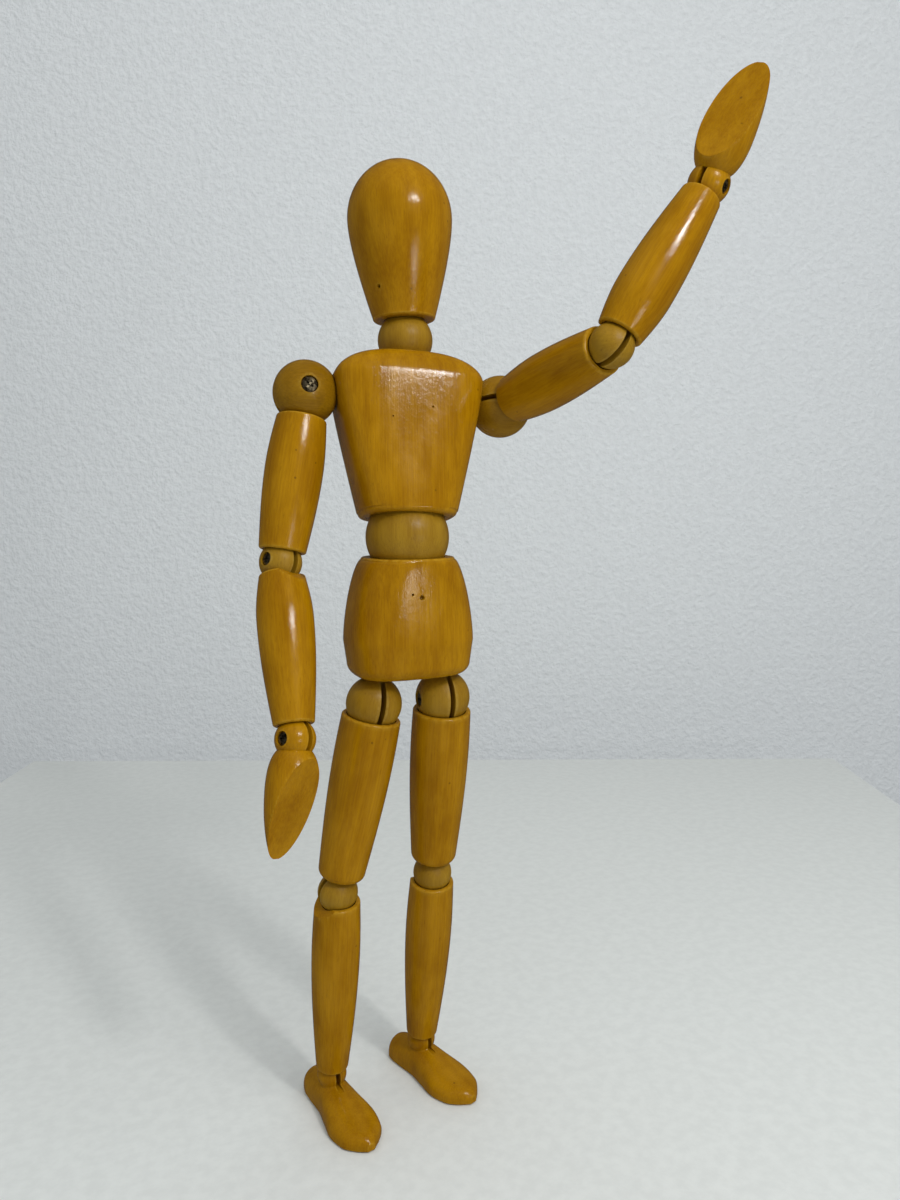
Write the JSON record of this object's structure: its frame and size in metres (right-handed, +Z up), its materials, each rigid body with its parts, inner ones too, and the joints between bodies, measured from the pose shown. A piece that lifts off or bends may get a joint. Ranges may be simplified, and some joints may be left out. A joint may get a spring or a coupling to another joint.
{
  "type": "artist mannequin",
  "caption": "Jointed wooden drawing figure with turned limbs on slotted ball joints, standing with its left arm raised; it is posed by hand and holds the pose.",
  "frame": {"origin": "on the floor, under the middle of the box around the posed figure", "axes": "+Z up; the pelvis faces -Y, the right side of the figure is at -X"},
  "size_m": [0.1296, 0.0958, 0.3154],
  "materials": {
    "varnished_wood": "gloss honey varnish over a straight grain",
    "bare_wood": "matte, bare turned wood",
    "steel": "dull, slightly tarnished"
  },
  "bodies": {
    "pelvis": {"pelvis": "varnished_wood"},
    "waist_tongue": {"waist_tongue": "steel"},
    "waist_ball": {"waist_ball": "bare_wood", "waist_cross_pin": "steel"},
    "thorax": {"thorax": "varnished_wood", "shoulder_axle": "steel"},
    "neck_tongue": {"neck_tongue": "steel"},
    "neck_ball": {"neck_ball": "bare_wood", "neck_cross_pin": "steel"},
    "head": {"head": "varnished_wood"},
    "right_shoulder_ball": {"right_shoulder_ball": "bare_wood", "right_shoulder_screw": "steel"},
    "right_upper_arm": {"right_upper_arm": "varnished_wood", "right_shoulder_tongue": "steel", "right_elbow_pin": "steel"},
    "right_elbow_ball": {"right_elbow_ball": "bare_wood", "right_elbow_screw": "steel"},
    "right_forearm": {"right_forearm": "varnished_wood", "right_elbow_tongue": "steel"},
    "right_wrist_tongue": {"right_wrist_tongue": "steel"},
    "right_hand": {"right_hand": "varnished_wood", "right_wrist_screw": "steel"},
    "left_shoulder_ball": {"left_shoulder_ball": "bare_wood", "left_shoulder_screw": "steel"},
    "left_upper_arm": {"left_upper_arm": "varnished_wood", "left_shoulder_tongue": "steel", "left_elbow_pin": "steel"},
    "left_elbow_ball": {"left_elbow_ball": "bare_wood", "left_elbow_screw": "steel"},
    "left_forearm": {"left_forearm": "varnished_wood", "left_elbow_tongue": "steel"},
    "left_wrist_tongue": {"left_wrist_tongue": "steel"},
    "left_hand": {"left_hand": "varnished_wood", "left_wrist_screw": "steel"},
    "right_hip_pin": {"right_hip_pin": "steel"},
    "right_hip_ball": {"right_hip_ball": "bare_wood", "right_hip_screw": "steel"},
    "right_thigh": {"right_thigh": "varnished_wood", "right_hip_tongue": "steel", "right_knee_pin": "steel"},
    "right_knee_ball": {"right_knee_ball": "bare_wood", "right_knee_screw": "steel"},
    "right_shin": {"right_shin": "varnished_wood", "right_knee_tongue": "steel"},
    "right_ankle_tongue": {"right_ankle_tongue": "steel"},
    "right_foot": {"right_foot": "varnished_wood", "right_ankle_screw": "steel"},
    "left_hip_pin": {"left_hip_pin": "steel"},
    "left_hip_ball": {"left_hip_ball": "bare_wood", "left_hip_screw": "steel"},
    "left_thigh": {"left_thigh": "varnished_wood", "left_hip_tongue": "steel", "left_knee_pin": "steel"},
    "left_knee_ball": {"left_knee_ball": "bare_wood", "left_knee_screw": "steel"},
    "left_shin": {"left_shin": "varnished_wood", "left_knee_tongue": "steel"},
    "left_ankle_tongue": {"left_ankle_tongue": "steel"},
    "left_foot": {"left_foot": "varnished_wood", "left_ankle_screw": "steel"}
  },
  "joints": [
    {"name": "waist_swivel", "type": "hinge", "parent": "pelvis", "child": "waist_tongue", "pos_m": [-0.01512, 0.01277, 0.18833], "axis": [0, 0, -1], "continuous": true},
    {"name": "waist_nod", "type": "hinge", "parent": "waist_tongue", "child": "waist_ball", "pos_m": [-0.01512, 0.01277, 0.18833], "axis": [0.9397, -0.342, 0], "range_deg": [-9.1, 30.9]},
    {"name": "waist_turn", "type": "hinge", "parent": "waist_ball", "child": "thorax", "pos_m": [-0.01512, 0.01277, 0.18833], "axis": [0.0647, 0.1777, 0.982], "range_deg": [-110, 110]},
    {"name": "neck_swivel", "type": "hinge", "parent": "thorax", "child": "neck_tongue", "pos_m": [-0.0112, 0.02354, 0.24784], "axis": [0.0647, 0.1777, 0.982], "continuous": true},
    {"name": "neck_nod", "type": "hinge", "parent": "neck_tongue", "child": "neck_ball", "pos_m": [-0.0112, 0.02354, 0.24784], "axis": [0.8247, -0.5636, 0.0477], "range_deg": [-28.3, 11.7]},
    {"name": "neck_turn", "type": "hinge", "parent": "neck_ball", "child": "head", "pos_m": [-0.0112, 0.02354, 0.24784], "axis": [0.0171, -0.0594, -0.9981], "continuous": true},
    {"name": "right_shoulder_swivel", "type": "hinge", "parent": "thorax", "child": "right_shoulder_ball", "pos_m": [-0.04265, 0.02388, 0.23101], "axis": [0.9919, -0.1189, -0.0438], "continuous": true},
    {"name": "right_shoulder_bend", "type": "hinge", "parent": "right_shoulder_ball", "child": "right_upper_arm", "pos_m": [-0.04265, 0.02388, 0.23101], "axis": [0.1093, 0.9778, -0.1788], "range_deg": [-4.2, 167.8]},
    {"name": "right_elbow_swivel", "type": "hinge", "parent": "right_upper_arm", "child": "right_elbow_ball", "pos_m": [-0.0531, 0.01604, 0.18171], "axis": [0.2049, 0.1539, 0.9666], "continuous": true},
    {"name": "right_elbow_bend", "type": "hinge", "parent": "right_elbow_ball", "child": "right_forearm", "pos_m": [-0.0531, 0.01604, 0.18171], "axis": [0.8391, 0.4809, -0.2544], "range_deg": [-52, 68]},
    {"name": "right_wrist_twist", "type": "hinge", "parent": "right_forearm", "child": "right_wrist_tongue", "pos_m": [-0.05512, -0.00524, 0.13486], "axis": [-0.0392, -0.4131, -0.9099], "continuous": true},
    {"name": "right_wrist_bend", "type": "hinge", "parent": "right_wrist_tongue", "child": "right_hand", "pos_m": [-0.05512, -0.00524, 0.13486], "axis": [0.8196, 0.5076, -0.2657], "range_deg": [-76, 54]},
    {"name": "left_shoulder_swivel", "type": "hinge", "parent": "thorax", "child": "left_shoulder_ball", "pos_m": [0.01786, 0.01663, 0.22834], "axis": [-0.9919, 0.1189, 0.0438], "continuous": true},
    {"name": "left_shoulder_bend", "type": "hinge", "parent": "left_shoulder_ball", "child": "left_upper_arm", "pos_m": [0.01786, 0.01663, 0.22834], "axis": [0.0736, 0.2588, 0.9631], "range_deg": [-12.3, 159.7]},
    {"name": "left_elbow_swivel", "type": "hinge", "parent": "left_upper_arm", "child": "left_elbow_ball", "pos_m": [0.02701, -0.03199, 0.2407], "axis": [-0.1794, 0.9534, -0.2425], "continuous": true},
    {"name": "left_elbow_bend", "type": "hinge", "parent": "left_elbow_ball", "child": "left_forearm", "pos_m": [0.02701, -0.03199, 0.2407], "axis": [0.8478, 0.0248, -0.5298], "range_deg": [-2, 118]},
    {"name": "left_wrist_twist", "type": "hinge", "parent": "left_forearm", "child": "left_wrist_tongue", "pos_m": [0.0543, -0.03603, 0.28419], "axis": [0.53, -0.0784, 0.8444], "continuous": true},
    {"name": "left_wrist_bend", "type": "hinge", "parent": "left_wrist_tongue", "child": "left_hand", "pos_m": [0.0543, -0.03603, 0.28419], "axis": [-0.406, 0.8507, 0.3338], "range_deg": [-42, 88]},
    {"name": "right_hip_sway", "type": "hinge", "parent": "pelvis", "child": "right_hip_pin", "pos_m": [-0.02642, 0.01277, 0.13813], "axis": [0, -1, 0], "range_deg": [-8.2, 6.8]},
    {"name": "right_hip_swivel", "type": "hinge", "parent": "right_hip_pin", "child": "right_hip_ball", "pos_m": [-0.02642, 0.01277, 0.13813], "axis": [0.1706, 0, 0.9853], "range_deg": [-60, 90]},
    {"name": "right_hip_bend", "type": "hinge", "parent": "right_hip_ball", "child": "right_thigh", "pos_m": [-0.02642, 0.01277, 0.13813], "axis": [0.9853, 0, -0.1706], "range_deg": [-74.2, 53.8]},
    {"name": "right_knee_swivel", "type": "hinge", "parent": "right_thigh", "child": "right_knee_ball", "pos_m": [-0.03693, 0.01951, 0.0774], "axis": [-0.1696, 0.1087, -0.9795], "continuous": true},
    {"name": "right_knee_bend", "type": "hinge", "parent": "right_knee_ball", "child": "right_shin", "pos_m": [-0.03693, 0.01951, 0.0774], "axis": [-0.0692, 0.9901, 0.1219], "range_deg": [-11, 85]},
    {"name": "right_ankle_twist", "type": "hinge", "parent": "right_shin", "child": "right_ankle_tongue", "pos_m": [-0.03782, 0.02757, 0.0114], "axis": [0.0133, -0.1212, 0.9925], "continuous": true},
    {"name": "right_ankle_bend", "type": "hinge", "parent": "right_ankle_tongue", "child": "right_foot", "pos_m": [-0.03782, 0.02757, 0.0114], "axis": [0.9818, 0.1896, 0.01], "range_deg": [-48, 62]},
    {"name": "left_hip_sway", "type": "hinge", "parent": "pelvis", "child": "left_hip_pin", "pos_m": [-0.00382, 0.01277, 0.13813], "axis": [0, -1, 0], "range_deg": [-4.1, 17.9]},
    {"name": "left_hip_swivel", "type": "hinge", "parent": "left_hip_pin", "child": "left_hip_ball", "pos_m": [-0.00382, 0.01277, 0.13813], "axis": [-0.0016, 0, 1], "range_deg": [-90, 44]},
    {"name": "left_hip_bend", "type": "hinge", "parent": "left_hip_ball", "child": "left_thigh", "pos_m": [-0.00382, 0.01277, 0.13813], "axis": [-1, 0, -0.0016], "range_deg": [-51.1, 76.9]},
    {"name": "left_knee_swivel", "type": "hinge", "parent": "left_thigh", "child": "left_knee_ball", "pos_m": [-0.00372, 0.02237, 0.07688], "axis": [0.0016, 0.1548, -0.988], "continuous": true},
    {"name": "left_knee_bend", "type": "hinge", "parent": "left_knee_ball", "child": "left_shin", "pos_m": [-0.00372, 0.02237, 0.07688], "axis": [1, 0, 0.0016], "range_deg": [-21.1, 74.9]},
    {"name": "left_ankle_twist", "type": "hinge", "parent": "left_shin", "child": "left_ankle_tongue", "pos_m": [-0.00362, 0.03397, 0.0114], "axis": [0.0016, 0.1745, -0.9847], "continuous": true},
    {"name": "left_ankle_bend", "type": "hinge", "parent": "left_ankle_tongue", "child": "left_foot", "pos_m": [-0.00362, 0.03397, 0.0114], "axis": [-0.9414, -0.332, -0.0603], "range_deg": [-64.4, 45.6]}
  ]
}
